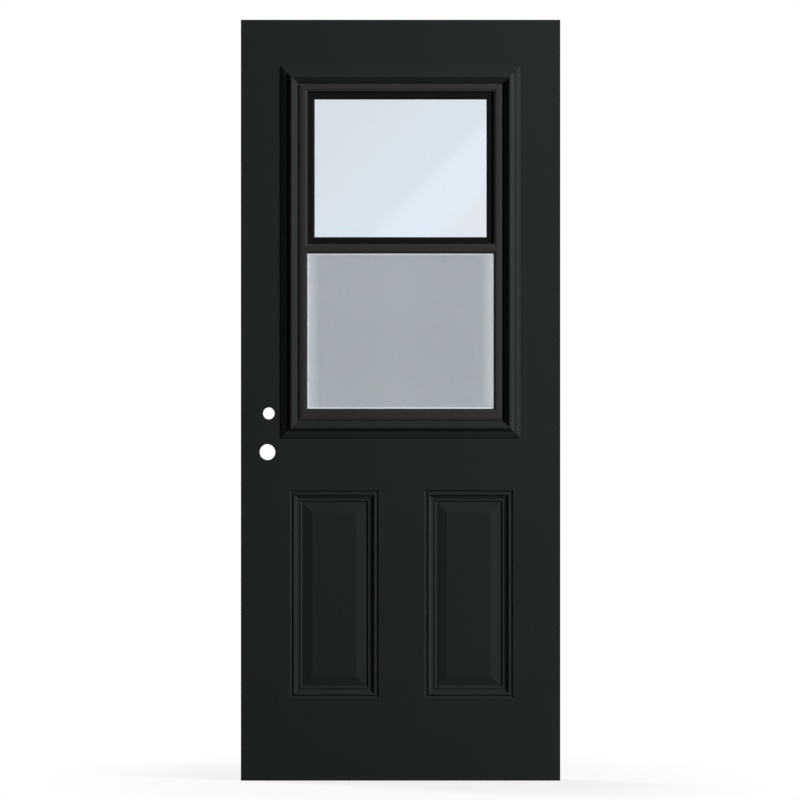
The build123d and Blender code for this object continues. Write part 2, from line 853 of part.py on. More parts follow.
def fixed_light():
    """The upper light: its outer edge is rebated so that it seats behind the jambs' and the head's fins."""
    sight = (sight_half, sight_bottom, sight_top)
    widths = (light_half - sight_half, sight_bottom - light_bottom, light_top - sight_top)
    depth = (-upper_front, -parting_front)
    flange_front = light_tape - fin_back
    step_half = channel_half - fin_reach - light_play
    step_top = channel_top - fin_reach - light_play
    keep = block((-light_half, light_half), (flange_front, -parting_front), (light_bottom, light_top))
    keep += block((-step_half, step_half), depth, (light_bottom, step_top))
    names = ("left", "right", "bottom", "top")
    bars = glazed_bars(widths, depth, -upper_glass, 0.0, sight)
    pieces = {f"upper_{name}_bar": bar & keep for name, bar in zip(names, bars)}
    pieces.update(sealed_unit("upper", sight, -upper_glass))
    tape = band(light_half, light_bottom - tape_width, light_top, tape_width, (-fin_back, flange_front))
    pieces["upper_glazing_tape"] = tape & block((-light_half, light_half), depth, (rail_top, light_top))
    middle = -(upper_front + parting_front) / 2
    seats = [block(about(side * sight_half / 2, setting_block_length), about(middle, setting_block_depth),
                   (web_top, light_bottom)) for side in (-1, 1)]
    pieces["setting_blocks"] = Compound(children=seats)
    return pieces


# Insect screen


def screen_bar_section():
    """Hollow bar with a groove for the spline and a shallow rebate that the mesh lies in."""
    front, back = screen_front, screen_front + screen_depth
    groove_floor_y = front + spline_depth
    profile = contour(
        (0, front), (groove_start, front), (groove_start, groove_floor_y), (groove_end, groove_floor_y),
        (groove_end, front + mesh_gauge), (screen_bar, front + mesh_gauge), (screen_bar, back), (0, back),
    )
    hollow = box_outline((screen_wall, groove_start - screen_wall), (front + screen_wall, back - screen_wall))
    return profile - hollow


def screen_mesh():
    """Woven mesh as one perforated sheet, with its edges folded into the spline groove."""
    half = screen_half - groove_end + mesh_gauge
    low = screen_bottom + groove_end - mesh_gauge
    high = screen_top - groove_end + mesh_gauge
    sheet = block((-half, half), (screen_front, screen_front + mesh_gauge), (low, high))
    sheet += band(half, low, high, mesh_gauge, (screen_front, screen_front + mesh_fold))
    clear_half = screen_half - screen_bar
    clear_low = screen_bottom + screen_bar
    clear_high = screen_top - screen_bar
    pitch_x = (2 * clear_half + mesh_web) / mesh_columns
    pitch_z = (clear_high - clear_low + mesh_web) / mesh_rows
    gap = Rectangle(pitch_x - mesh_web, pitch_z - mesh_web)
    gaps = GridLocations(pitch_x, pitch_z, mesh_columns, mesh_rows) * gap
    plane = Plane.XZ.offset(-screen_front - mesh_gauge) * Pos(0, (clear_low + clear_high) / 2)
    return sheet - extrude(plane * (Sketch() + gaps), mesh_gauge)


def screen_keys():
    """Corner keys inside the hollow bars."""
    start = screen_wall + key_play
    width = groove_start - 2 * start
    depth = (screen_front + start, screen_front + screen_depth - start)
    ring = band(screen_half - start, screen_bottom + start, screen_top - start, width, depth)
    reach = start + key_arm
    corners = []
    for x_range in ((-screen_half, reach - screen_half), (screen_half - reach, screen_half)):
        for z_range in ((screen_bottom, screen_bottom + reach), (screen_top - reach, screen_top)):
            corners.append(ring & block(x_range, depth, z_range))
    return Compound(children=corners)


def insect_screen():
    bars = mitred_bars([screen_bar_section()] * 3, screen_half, screen_bottom, screen_top, screen_bar)
    spline_x = groove_start + spline_play + spline_radius
    spline_y = screen_front + spline_depth - spline_play - spline_radius
    spline_section = Pos(spline_x, spline_y) * Circle(spline_radius)
    pieces = {f"screen_{name}_bar": bar for name, bar in zip(("left", "right", "bottom", "top"), bars)}
    pieces["screen_spline"] = mitred_ring(spline_section, screen_half, screen_bottom, screen_top, groove_end)
    pieces["screen_mesh"] = screen_mesh()
    pieces["screen_corner_keys"] = screen_keys()
    return pieces


# Sliding sash


def pile_strips():
    """Pile weatherstrips: two before and two behind the stiles, and one across the top rail."""
    low, high = sash_bottom + pile_margin, sash_top - pile_margin
    front = (pile_play - parting_back, sash_front + pile_depth)
    back = (sash_back - pile_depth, track_back - pile_play)
    front_x = parting_half + front_pile_inset
    back_x = inner_half + front_pile_inset
    strips = []
    for x, depth in ((front_x, front), (back_x, back)):
        strip = block((x, x + pile_width), depth, (low, high))
        strips += [strip, other_side(strip)]
    middle = (sash_sight_top + glass_bite + sash_top) / 2
    strips.append(block((-sash_sight_half, sash_sight_half), front, about(middle, pile_width)))
    return strips


def sash_glides():
    """Low-friction pads let into the edges of the stiles."""
    middle = (sash_front + sash_back) / 2
    glides = []
    for low in (sash_bottom + glide_margin, sash_top - glide_margin - glide_height):
        glide = block((sash_half + glide_proud - glide_depth, sash_half + glide_proud),
                      about(middle, glide_width), (low, low + glide_height))
        glides += [glide, other_side(glide)]
    return glides


def bulb_seal():
    """Bulb under the bottom rail, held by a stem in the rail's kerf."""
    middle = (sash_front + sash_back) / 2
    low = border_bottom + bulb_play
    end = sash_half - wall
    left, right = about(middle, bulb_width)
    bulb = contour((left, sash_bottom), (right, sash_bottom, sash_bottom - low))
    stem = box_outline(about(middle, bulb_stem), (sash_bottom, sash_bottom + bulb_stem_depth))
    return level(bulb + stem, -end, end)


def pull_lip():
    """Finger lip along the bottom rail, with a hooked edge."""
    top = sash_sight_bottom - pull_drop
    end = sash_back + pull_reach
    section = contour(
        (sash_back, top - pull_thickness), (end - pull_thickness, top - pull_thickness),
        (end - pull_thickness, top - pull_hook), (end, top - pull_hook), (end, top), (sash_back, top),
    )
    return level(section, -pull_width / 2, pull_width / 2)


def latch_housing():
    """Channel that guides the slider at +X, with a slot in its cover for the finger pad."""
    start = latch_tip - latch_length
    top = latch_bottom + latch_height
    cover = slider_back + slider_play
    body = block((start, latch_tip), (sash_back, cover + latch_cover), (latch_bottom, top))
    body -= block((start + latch_guide, latch_tip), (sash_back + latch_plate, cover),
                  (latch_bottom + latch_guide, top - latch_guide))
    pad_start = latch_tip - slider_length + pad_inset
    middle = (slider_bottom + slider_top) / 2
    return body - block((pad_start - pad_play, pad_start + pad_length + latch_throw + pad_play),
                        (cover, cover + latch_cover), about(middle, pad_height + 2 * pad_play))


def latch_slider():
    """Bolt at +X with a chamfered nose and a finger pad."""
    bolt = block((latch_tip - slider_length, latch_tip), (slider_front, slider_back),
                 (slider_bottom, slider_top))
    nose = bolt.faces().sort_by(Axis.X)[-1].edges().filter_by(Axis.Y)
    bolt = chamfer(nose, slider_tip)
    pad_start = latch_tip - slider_length + pad_inset
    middle = (slider_bottom + slider_top) / 2
    top = slider_back + slider_play + latch_cover + pad_proud
    pad = block((pad_start, pad_start + pad_length), (slider_back, top), about(middle, pad_height))
    crown = pad.faces().sort_by(Axis.Y)[-1].edges()
    return bolt + chamfer(crown, pad_play)


def sash():
    sight = (sash_sight_half, sash_sight_bottom, sash_sight_top)
    widths = (sash_half - sash_sight_half, sash_sight_bottom - sash_bottom, sash_top - sash_sight_top)
    depth = (sash_front, sash_back)
    glass_front = sash_front + sash_glass
    bars = glazed_bars(widths, depth, glass_front, bar_bevel_drop, sight)
    piles, glides, seal = pile_strips(), sash_glides(), bulb_seal()
    left, right, bottom, top = [bar - piles - glides - [seal] for bar in bars]
    housing = latch_housing()
    slider = latch_slider()
    pieces = {
        "sash_left_stile": left,
        "sash_right_stile": right,
        "sash_bottom_rail": bottom + pull_lip(),
        "sash_top_rail": top,
        "sash_pile_strips": Compound(children=piles),
        "sash_glides": Compound(children=glides),
        "sash_bulb_seal": seal,
        "latch_housings": Compound(children=[housing, other_side(housing)]),
        "right_latch_bolt": slider,
        "left_latch_bolt": other_side(slider),
    }
    pieces.update(sealed_unit("sash", sight, glass_front))
    return pieces


def main():
    parts = {}
    for group in (leaf, moulded_frames, surround, fixed_light, insect_screen, sash):
        parts.update(group())
    os.makedirs("parts", exist_ok=True)
    for name, shape in parts.items():
        export_step(shape, f"parts/{name}.step")


main()
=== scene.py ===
"""Looks of a half-lite entry door leaf with a sliding vent window and an insect screen."""

import math

import bmesh
import bpy
from bpy.props import FloatProperty, FloatVectorProperty, IntProperty, PointerProperty
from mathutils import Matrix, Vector


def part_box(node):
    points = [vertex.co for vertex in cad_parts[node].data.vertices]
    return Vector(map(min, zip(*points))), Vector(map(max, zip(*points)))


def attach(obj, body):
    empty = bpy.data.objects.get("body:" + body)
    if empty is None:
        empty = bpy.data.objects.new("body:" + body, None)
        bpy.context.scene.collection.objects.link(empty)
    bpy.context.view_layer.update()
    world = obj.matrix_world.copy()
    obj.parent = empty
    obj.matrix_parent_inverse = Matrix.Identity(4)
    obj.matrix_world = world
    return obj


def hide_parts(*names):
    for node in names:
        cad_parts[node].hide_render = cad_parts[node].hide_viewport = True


bl_info = {
    "name": "Vent Door Finisher",
    "version": (1, 0, 0),
    "blender": (4, 5, 0),
    "location": "3D View > Sidebar > Door",
    "description": "Dresses a half-lite entry door: paint, glazing, woven screen, latches and studio",
    "category": "Object",
}

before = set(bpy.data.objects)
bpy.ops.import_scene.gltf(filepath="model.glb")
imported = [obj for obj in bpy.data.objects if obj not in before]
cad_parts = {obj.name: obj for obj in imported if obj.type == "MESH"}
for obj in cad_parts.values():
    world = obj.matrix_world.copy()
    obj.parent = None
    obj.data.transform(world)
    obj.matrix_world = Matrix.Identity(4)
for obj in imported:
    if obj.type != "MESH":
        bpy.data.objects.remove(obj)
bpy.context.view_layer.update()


def colour(name, description, default):
    return FloatVectorProperty(name=name, description=description, subtype="COLOR", size=3, min=0, max=1,
                               default=default)


def length(name, description, default):
    return FloatProperty(name=name, description=description, default=default, min=0, unit="LENGTH")


def place(name, description, default):
    return FloatProperty(name=name, description=description, default=default, unit="LENGTH")


def angle(name, description, degrees):
    return FloatProperty(name=name, description=description, default=math.radians(degrees), unit="ROTATION")


def amount(name, description, default):
    return FloatProperty(name=name, description=description, default=default, min=0, max=1, subtype="FACTOR")


class PaintSettings(bpy.types.PropertyGroup):
    """Paint on the leaf, the moulded frames and the window surround."""
    skin: colour("Skin", "Satin black of the steel skins and moulded frames", (0.0124, 0.0148, 0.0147))
    surround: colour("Surround", "Charcoal of the window surround and sash", (0.0222, 0.0224, 0.0223))
    # The bars' black is darker than the skin's paint. It is partly the bars' own matt black and partly
    # painted shade of the recess round the fixed glass.
    dark_bar: colour("Fixed bars", "Matt black of the bars round the fixed glass", (0.0042, 0.0041, 0.0043))
    gloss: amount("Roughness", "Roughness of the satin paint", 0.62)
    surround_gloss: amount("Surround roughness", "Roughness of the surround's paint", 0.60)
    texture_size: length("Texture size", "Size of the paint's fine orange peel", 0.0016)


class GlassSettings(bpy.types.PropertyGroup):
    """Sealed glass units."""
    tint: colour("Tint", "Tint of each pane", (0.842, 0.880, 0.908))
    index: FloatProperty(name="Index", description="Index of refraction", default=1.5, min=1, max=2)


class ScreenSettings(bpy.types.PropertyGroup):
    """Woven insect mesh."""
    pitch_across: length("Pitch across", "Spacing of the upright strands", 0.00141)
    pitch_up: length("Pitch up", "Spacing of the level strands", 0.00159)
    strand: length("Strand", "Diameter of a coated strand", 0.00045)
    sides: IntProperty(name="Sides", description="Sides of a strand", default=5, min=3, max=12)
    yarn: colour("Yarn", "Colour of the coated yarn", (0.060, 0.062, 0.066))
    # The next three settings paint light on the yarn: a paler glow along the surround, a bright rim right
    # beside it, and the width of the glow.
    painted_glow_yarn: colour("Edge yarn", "Colour where the mesh lies close to its bars", (0.36, 0.37, 0.38))
    painted_rim_highlight: colour("Rim yarn", "Colour right beside the surround", (0.80, 0.80, 0.80))
    painted_glow_width: length("Edge fade", "Width of the paler margin", 0.036)


class LatchSettings(bpy.types.PropertyGroup):
    """Slide latches on the sash."""
    ribs: IntProperty(name="Ribs", description="Grip ribs on each finger pad", default=5, min=1, max=12)
    rib_radius: length("Rib radius", "Radius of a grip rib", 0.0005)
    plastic: colour("Plastic", "Black plastic of latches and stops", (0.0105, 0.0105, 0.0110))


class StageSettings(bpy.types.PropertyGroup):
    """Camera, lamps and floor."""
    distance: length("Camera distance", "From the camera to the middle of the leaf", 12.0)
    picture_height: length("Picture height", "Height of the view at the door's face", 2.13632)
    centre_x: place("Centre x", "Where the camera looks, across", -0.0015)
    centre_z: place("Centre z", "Where the camera looks, up", 1.0166)
    key_power: FloatProperty(name="Lamp power", description="Power of each soft lamp", default=1230.0, min=0,
                             unit="POWER")
    lamp_turn: angle("Lamp turn", "From straight in front of a face to its lamp, round the upright axis", 62)
    lamp_rise: angle("Lamp rise", "Height of the lamps above the middle of the leaf, as an angle", 24)
    lamp_reach: length("Lamp reach", "From the middle of the leaf to a lamp", 7.0)
    lamp_size: length("Lamp size", "Diameter of a lamp", 2.0)
    fill: amount("Fill", "Brightness of the surroundings on matt surfaces", 0.02)
    floor_radius: length("Floor radius", "Radius of the round floor", 9.0)
    shadow_near: length("Shadow near", "Up to here from the door the floor keeps most of its shadow", 0.45)
    shadow_far: length("Shadow far", "From here on the floor is white", 1.1)


class Number:
    """A number in a node tree. Arithmetic on it adds Math nodes."""

    def __init__(self, nodes, socket):
        self.nodes = nodes
        self.socket = socket

    def _with(self, operation, first, second=None):
        values = [first] if second is None else [first, second]
        return self.nodes.number("ShaderNodeMath", {"operation": operation}, *values)

    def __add__(self, other):
        return self._with("ADD", self, other)

    __radd__ = __add__

    def __sub__(self, other):
        return self._with("SUBTRACT", self, other)

    def __rsub__(self, other):
        return self._with("SUBTRACT", other, self)

    def __mul__(self, other):
        return self._with("MULTIPLY", self, other)

    __rmul__ = __mul__

    def __truediv__(self, other):
        return self._with("DIVIDE", self, other)

    def magnitude(self):
        return self._with("ABSOLUTE", self)

    def greatest(self, other):
        return self._with("MAXIMUM", self, other)

    def least(self, other):
        return self._with("MINIMUM", self, other)


class Nodes:
    """Adds nodes to a tree and links them."""

    def __init__(self, tree):
        self.tree = tree

    def link(self, value, socket):
        if isinstance(value, Number):
            self.tree.links.new(value.socket, socket)
        elif isinstance(value, bpy.types.NodeSocket):
            self.tree.links.new(value, socket)
        elif value is not None:
            socket.default_value = value

    def node(self, kind, settings=None, *values, **inputs):
        """A node with its settings made first, then its sockets filled or linked, by order or by name."""
        node = self.tree.nodes.new(kind)
        for name, value in (settings or {}).items():
            setattr(node, name, value)
        named = {name.replace("_", " "): value for name, value in inputs.items()}
        for key, value in [*enumerate(values), *named.items()]:
            self.link(value, node.inputs[key])
        return node

    def number(self, kind, settings, *values):
        return Number(self, self.node(kind, settings, *values).outputs[0])


class ShaderNodes(Nodes):
    """Nodes of a material or of the world."""

    def ray(self, kind):
        """1 for rays of that kind and 0 for the rest."""
        return Number(self, self.node("ShaderNodeLightPath").outputs[f"Is {kind} Ray"])

    def seen(self):
        """1 where the camera looks, straight or through glass."""
        return (self.ray("Camera") + self.ray("Transmission")).least(1.0)

    def place(self):
        """Object coordinates in metres."""
        return self.node("ShaderNodeTexCoord").outputs["Object"]

    def across(self):
        """The three object coordinates as numbers."""
        parts = self.node("ShaderNodeSeparateXYZ", Vector=self.place())
        return [Number(self, output) for output in parts.outputs]

    def noise(self, size, detail=2.0, stretch=None):
        """Soft noise from 0 to 1 with features of that size in metres, drawn out where stretch is small."""
        vector = self.place()
        if stretch:
            vector = self.node("ShaderNodeMapping", Vector=vector, Scale=stretch).outputs[0]
        node = self.node("ShaderNodeTexNoise", Vector=vector, Scale=1 / size, Detail=detail)
        return Number(self, node.outputs["Fac"])

    def ramp(self, value, low, high):
        """0 below low and 1 above high, smooth between."""
        node = self.node("ShaderNodeMapRange", {"interpolation_type": "SMOOTHSTEP"},
                         Value=value, From_Min=low, From_Max=high)
        return Number(self, node.outputs["Result"])

    def blend(self, factor, first, second):
        """A colour between two colours."""
        node = self.node("ShaderNodeMix", {"data_type": "RGBA"}, factor)
        self.link(as_colour(first), node.inputs[6])
        self.link(as_colour(second), node.inputs[7])
        return node.outputs[2]


class Finish(ShaderNodes):
    """A procedural material: one Principled shader and the nodes that feed it."""

    def __init__(self, name, **shader_values):
        self.material = bpy.data.materials.new(name)
        self.material.use_nodes = True
        super().__init__(self.material.node_tree)
        self.shader = self.tree.nodes["Principled BSDF"]
        for socket, value in shader_values.items():
            self.shader.inputs[socket.replace("_", " ")].default_value = value

    def bump(self, height, distance, strength=1.0):
        """Raised and sunk detail of that height in metres."""
        node = self.node("ShaderNodeBump", Height=height, Distance=distance, Strength=strength)
        self.link(node.outputs[0], self.shader.inputs["Normal"])

    def base(self, value):
        self.link(as_colour(value), self.shader.inputs["Base Color"])

    def vary(self, factor, shade, darkest, lightest):
        """A base colour that moves between two strengths of one shade."""
        self.base(self.blend(factor, scaled(shade, darkest), scaled(shade, lightest)))

    def roughness(self, value):
        self.link(value, self.shader.inputs["Roughness"])

    def output(self, shader):
        """Uses another shader for the surface."""
        self.link(shader, self.tree.nodes["Material Output"].inputs["Surface"])


def as_colour(value):
    if isinstance(value, (bpy.types.NodeSocket, Number)):
        return value
    return (*tuple(value)[:3], 1.0)


def scaled(shade, factor):
    """A colour made lighter or darker by a factor."""
    return [min(part * factor, 1.0) for part in tuple(shade)[:3]]


# Finishes


def satin_paint(name, shade, roughness, peel, specular=0.03):
    """Baked satin paint: faint cloudiness, fine orange peel and a little change in sheen."""
    finish = Finish(name, Specular_IOR_Level=specular)
    cloud = finish.noise(size=0.35, detail=3.0)
    speck = finish.noise(size=0.004)
    finish.vary(cloud * 0.7 + speck * 0.3, shade, darkest=0.88, lightest=1.12)
    finish.roughness(finish.noise(size=0.12) * 0.10 + (roughness - 0.05))
    finish.bump(finish.noise(size=peel), distance=0.00003, strength=0.5)
    return finish.material


def timber_edge(name, shade):
    """Painted timber: the paint follows a faint upright grain."""
    finish = Finish(name, Specular_IOR_Level=0.15)
    grain = finish.noise(size=0.0016, detail=4.0, stretch=(1.0, 1.0, 0.03))
    finish.vary(grain, shade, darkest=0.8, lightest=1.25)
    finish.roughness(0.5 + grain * 0.15)
    finish.bump(grain, distance=0.00012, strength=0.6)
    return finish.material


def bare_timber(name):
    """Laminated timber seen in the bores: thin veneers across the thickness, with grain and glue lines."""
    veneer = 0.0016
    glue_share = 0.18
    finish = Finish(name, Specular_IOR_Level=0.25)
    _, depth, _ = finish.across()
    grain = finish.noise(size=0.0015, detail=4.0, stretch=(1.0, 1.0, 0.05))
    height = finish.number("ShaderNodeMath", {"operation": "PINGPONG"}, depth, veneer) / veneer
    line = finish.ramp(height, 0.0, glue_share)
    wood = finish.blend(grain, (0.20, 0.125, 0.07), (0.38, 0.27, 0.16))
    finish.base(finish.blend(line, (0.09, 0.055, 0.03), wood))
    finish.roughness(0.75 + grain * 0.1)
    finish.bump(grain, distance=0.0002, strength=0.5)
    return finish.material


def foam(name):
    """Cut foam: pale, with open cells, each one darker in its hollow as painted shade."""
    cells_per_metre = 900
    finish = Finish(name, Specular_IOR_Level=0.1, Roughness=0.95)
    cells = finish.node("ShaderNodeTexVoronoi", Vector=finish.place(), Scale=cells_per_metre)
    depth = Number(finish, cells.outputs["Distance"])
    # Painted shade: the colour darkens with the cell depth that also sinks the bump, so each hollow is
    # darker.
    finish.base(finish.blend(depth, (0.50, 0.42, 0.24), (0.80, 0.72, 0.50)))
    finish.bump(depth, distance=0.0004)
    return finish.material


def plain_rubber(name, shade, roughness=0.75):
    """Rubber or foam tape with a fine matt grain."""
    finish = Finish(name, Specular_IOR_Level=0.25)
    grain = finish.noise(size=0.0009, detail=3.0)
    finish.vary(grain, shade, darkest=0.75, lightest=1.3)
    finish.roughness(roughness + grain * 0.1)
    finish.bump(grain, distance=0.00006, strength=0.6)
    return finish.material


def moulded_plastic(name, shade, roughness=0.5):
    """Moulded plastic with a spark-eroded grain."""
    finish = Finish(name, Specular_IOR_Level=0.4)
    grain = finish.noise(size=0.0007)
    finish.vary(grain, shade, darkest=0.9, lightest=1.1)
    finish.roughness(roughness + grain * 0.12)
    finish.bump(grain, distance=0.00004, strength=0.7)
    return finish.material


def plated_steel(name):
    """Zinc-plated screws: dull metal with faint turning marks."""
    finish = Finish(name, Metallic=1.0)
    marks = finish.noise(size=0.0006)
    finish.base(finish.blend(marks, (0.44, 0.44, 0.42), (0.62, 0.62, 0.59)))
    finish.roughness(0.34 + marks * 0.16)
    return finish.material


def perforated_spacer(name, pitch=0.0035, hole_radius=0.0005):
    """Mill aluminium spacer with a row of pin holes along its middle."""
    finish = Finish(name, Metallic=1.0, Specular_IOR_Level=0.5)
    across, depth, up = finish.across()
    middle = sum(part.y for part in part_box("upper_spacer")) / 2
    along = finish.number("ShaderNodeMath", {"operation": "PINGPONG"}, across + up, pitch / 2)
    offset = (depth - middle).magnitude()
    distance = finish.number("ShaderNodeMath", {"operation": "SQRT"}, along * along + offset * offset)
    solid = finish.ramp(distance, hole_radius * 0.8, hole_radius * 1.2)
    brushed = finish.noise(size=0.002, detail=3.0)
    metal = finish.blend(brushed, (0.62, 0.63, 0.64), (0.74, 0.75, 0.76))
    finish.base(finish.blend(solid, (0.02, 0.02, 0.02), metal))
    finish.roughness(0.32 + brushed * 0.12)
    return finish.material


def wool_pile(name):
    """Dense grey pile, brushed one way."""
    finish = Finish(name, Specular_IOR_Level=0.1, Roughness=0.95)
    fibre = finish.noise(size=0.0004, detail=3.0, stretch=(1.0, 0.12, 1.0))
    finish.base(finish.blend(fibre, (0.012, 0.012, 0.013), (0.060, 0.060, 0.063)))
    finish.bump(fibre, distance=0.0003)
    return finish.material


def clear_glass(name, tint, index):
    """Clear float glass with the faintest change of tint."""
    finish = Finish(name, Transmission_Weight=1.0, Roughness=0.0, IOR=index)
    haze = finish.noise(size=0.25, detail=1.0)
    finish.vary(haze, tint, darkest=0.997, lightest=1.0)
    return finish.material


def screen_yarn(name, settings):
    """Coated yarn with a painted glow: a paler margin along the surround, broad at the sides and narrow
    above and below, and a painted bright rim right beside the surround.
    """
    finish = Finish(name, Specular_IOR_Level=0.3, Roughness=0.55)
    across, _, up = finish.across()
    left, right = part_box("left_jamb")[1].x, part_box("right_jamb")[0].x
    sill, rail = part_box("vent_sill")[1].z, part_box("meeting_rail")[0].z
    side = (across - left).least(right - across)
    level = (up - sill).least(rail - up)
    painted_glow_height = settings.painted_glow_width * 0.2
    rim_near, rim_far = 0.001, 0.005
    # Painted light: the yarn turns paler towards the surround as a painted glow, and a painted bright rim
    # lies right beside it.
    painted_glow = (1 - finish.ramp(side, 0.0, settings.painted_glow_width)).greatest(1 - finish.ramp(level, 0.0, painted_glow_height))
    painted_rim = 1 - finish.ramp(side.least(level), rim_near, rim_far)
    pale = finish.blend(painted_glow, settings.yarn, settings.painted_glow_yarn)
    finish.base(finish.blend(painted_rim, pale, settings.painted_rim_highlight))
    return finish.material


def dress(material, *nodes):
    """Gives CAD nodes a material."""
    for name in nodes:
        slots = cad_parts[name].data.materials
        slots.clear()
        slots.append(material)


# Mesh helpers


def add_piece(name, mesh):
    """A new object at the origin, with its place in its mesh."""
    piece = bpy.data.objects.new(name, mesh)
    bpy.context.scene.collection.objects.link(piece)
    return piece


def boxes_mesh(name, boxes, material):
    """One mesh of several boxes, each given by its lowest and highest corner."""
    form = bmesh.new()
    for low, high in boxes:
        made = bmesh.ops.create_cube(form, size=1.0)
        size, middle = Vector(high) - Vector(low), (Vector(high) + Vector(low)) / 2
        for corner in made["verts"]:
            corner.co = Vector([part * scale for part, scale in zip(corner.co, size)]) + middle
    mesh = bpy.data.meshes.new(name)
    form.to_mesh(mesh)
    form.free()
    mesh.materials.append(material)
    return mesh


class MeshTree(Nodes):
    """A Geometry Nodes tree with named inputs."""

    def __init__(self, name, inputs):
        super().__init__(bpy.data.node_groups.new(name, "GeometryNodeTree"))
        interface = self.tree.interface
        for side in ("INPUT", "OUTPUT"):
            interface.new_socket("Geometry", in_out=side, socket_type="NodeSocketGeometry")
        self.sockets = {}
        for label, kind in inputs.items():
            socket = interface.new_socket(label, in_out="INPUT", socket_type="NodeSocket" + kind)
            self.sockets[label] = socket.identifier
        self.entry = self.node("NodeGroupInput")
        self.exit = self.node("NodeGroupOutput")

    def given(self, label):
        """The tree's input of that name."""
        return self.entry.outputs[label]

    def vector(self, x=0.0, y=0.0, z=0.0):
        return self.node("ShaderNodeCombineXYZ", X=x, Y=y, Z=z).outputs[0]

    def rods(self, count, start, step, sides, span, turn=(0.0, 0.0, 0.0)):
        """A row of like rods: upright unless turned, the first one centred on start."""
        line = self.node("GeometryNodeMeshLine", Count=count, Start_Location=start, Offset=step)
        rod = self.node("GeometryNodeMeshCylinder", Vertices=sides, Radius=self.given("Radius"), Depth=span)
        placed = self.node("GeometryNodeInstanceOnPoints", Points=line.outputs[0],
                           Instance=rod.outputs["Mesh"], Rotation=turn)
        return placed.outputs[0]

    def finish(self, parts):
        """Joins the parts, realizes them and gives them the material."""
        join = self.node("GeometryNodeJoinGeometry")
        for part in reversed(parts):
            self.link(part, join.inputs[0])
        whole = self.node("GeometryNodeRealizeInstances", Geometry=join.outputs[0])
        dressed = self.node("GeometryNodeSetMaterial",
                            Geometry=whole.outputs[0], Material=self.given("Material"))
        self.link(dressed.outputs[0], self.exit.inputs[0])

    def grow(self, name, values):
        """The tree's result as a plain mesh on a new object."""
        seed = bpy.data.meshes.new(name + "_seed")
        piece = add_piece(name, seed)
        modifier = piece.modifiers.new("Grow", "NODES")
        modifier.node_group = self.tree
        for label, value in values.items():
            modifier[self.sockets[label]] = value
        bpy.context.view_layer.update()
        evaluated = piece.evaluated_get(bpy.context.evaluated_depsgraph_get())
        mesh = bpy.data.meshes.new_from_object(evaluated)
        mesh.name = name
        piece.modifiers.remove(modifier)
        piece.data = mesh
        bpy.data.meshes.remove(seed)
        return piece


def strand_tree():
    """Upright and level strands, each a slim round rod, laid one behind the other."""
    tree = MeshTree("woven_mesh", {
        "Width": "Float", "Height": "Float", "Upright": "Int", "Level": "Int", "Pitch across": "Float",
        "Pitch up": "Float", "Radius": "Float", "Sides": "Int", "Corner": "Vector", "Material": "Material"})
    radius, width, height = (Number(tree, tree.given(label)) for label in ("Radius", "Width", "Height"))
    sides = tree.given("Sides")

    def from_corner(**shift):
        return tree.node("ShaderNodeVectorMath", {"operation": "ADD"},
                         tree.given("Corner"), tree.vector(**shift)).outputs[0]

    upright = tree.rods(tree.given("Upright"), from_corner(y=radius * -1, z=height * 0.5),
                        tree.vector(x=tree.given("Pitch across")), sides, height)
    level = tree.rods(tree.given("Level"), from_corner(x=width * 0.5, y=radius),
                      tree.vector(z=tree.given("Pitch up")), sides, width, turn=(0.0, math.pi / 2, 0.0))
    tree.finish([upright, level])
    return tree


def rib_tree():
    """Upright round ribs in a row, half sunk in a finger pad for grip."""
    tree = MeshTree("grip_ribs", {"Count": "Int", "Pitch": "Float", "Radius": "Float", "Height": "Float",
                                  "Start": "Vector", "Material": "Material"})
    ribs = tree.rods(tree.given("Count"), tree.given("Start"), tree.vector(x=tree.given("Pitch")),
                     sides=12, span=tree.given("Height"))
    tree.finish([ribs])
    return tree


# Operators


class DOOR_OT_leaf(bpy.types.Operator):
    """Paint the steel skins and finish the timber edges, lock block and core"""
    bl_idname = "door.leaf"
    bl_label = "Finish leaf"

    def execute(self, context):
        paint = context.scene.door_paint
        skin = satin_paint("black_satin_skin", paint.skin, paint.gloss, paint.texture_size)
        dress(skin, "exterior_skin", "interior_skin")
        dress(timber_edge("painted_timber_edge", paint.skin),
              "hinge_stile", "lock_stile", "top_rail", "bottom_rail")
        dress(bare_timber("laminated_timber"), "lock_block")
        dress(foam("core_foam"), "foam_core")
        return {"FINISHED"}


class DOOR_OT_moulded_frames(bpy.types.Operator):
    """Paint the moulded frames that clamp the window, and finish their seals, screws and plugs"""
    bl_idname = "door.moulded_frames"
    bl_label = "Finish moulded frames"

    def execute(self, context):
        paint = context.scene.door_paint
        skin = satin_paint("black_satin_moulding", paint.skin, paint.gloss, paint.texture_size)
        dress(skin, "exterior_lite_frame", "interior_lite_frame", "screw_plugs")
        dress(plain_rubber("frame_foam_seal", (0.008, 0.008, 0.008)),
              "exterior_frame_seal", "interior_frame_seal")
        dress(plated_steel("zinc_screws"), "lite_frame_screws", "frame_screws")
        return {"FINISHED"}


class DOOR_OT_surround(bpy.types.Operator):
    """Finish the window surround, the meeting rail, the sash and its seals"""
    bl_idname = "door.surround"
    bl_label = "Finish surround and sash"

    def execute(self, context):
        paint = context.scene.door_paint
        finer = paint.texture_size * 0.6
        charcoal = satin_paint("charcoal_surround", paint.surround, paint.surround_gloss, finer)
        dress(charcoal, "left_jamb", "right_jamb", "vent_head", "vent_sill", "meeting_rail",
              "sash_left_stile", "sash_right_stile", "sash_bottom_rail", "sash_top_rail")
        dress(moulded_plastic("stop_plastic", context.scene.door_latch.plastic),
              "sash_stops", "sash_glides", "screen_corner_keys")
        dress(wool_pile("grey_pile"), "sash_pile_strips")
        dress(plain_rubber("bulb_rubber", (0.010, 0.010, 0.010)), "sash_bulb_seal")
        return {"FINISHED"}


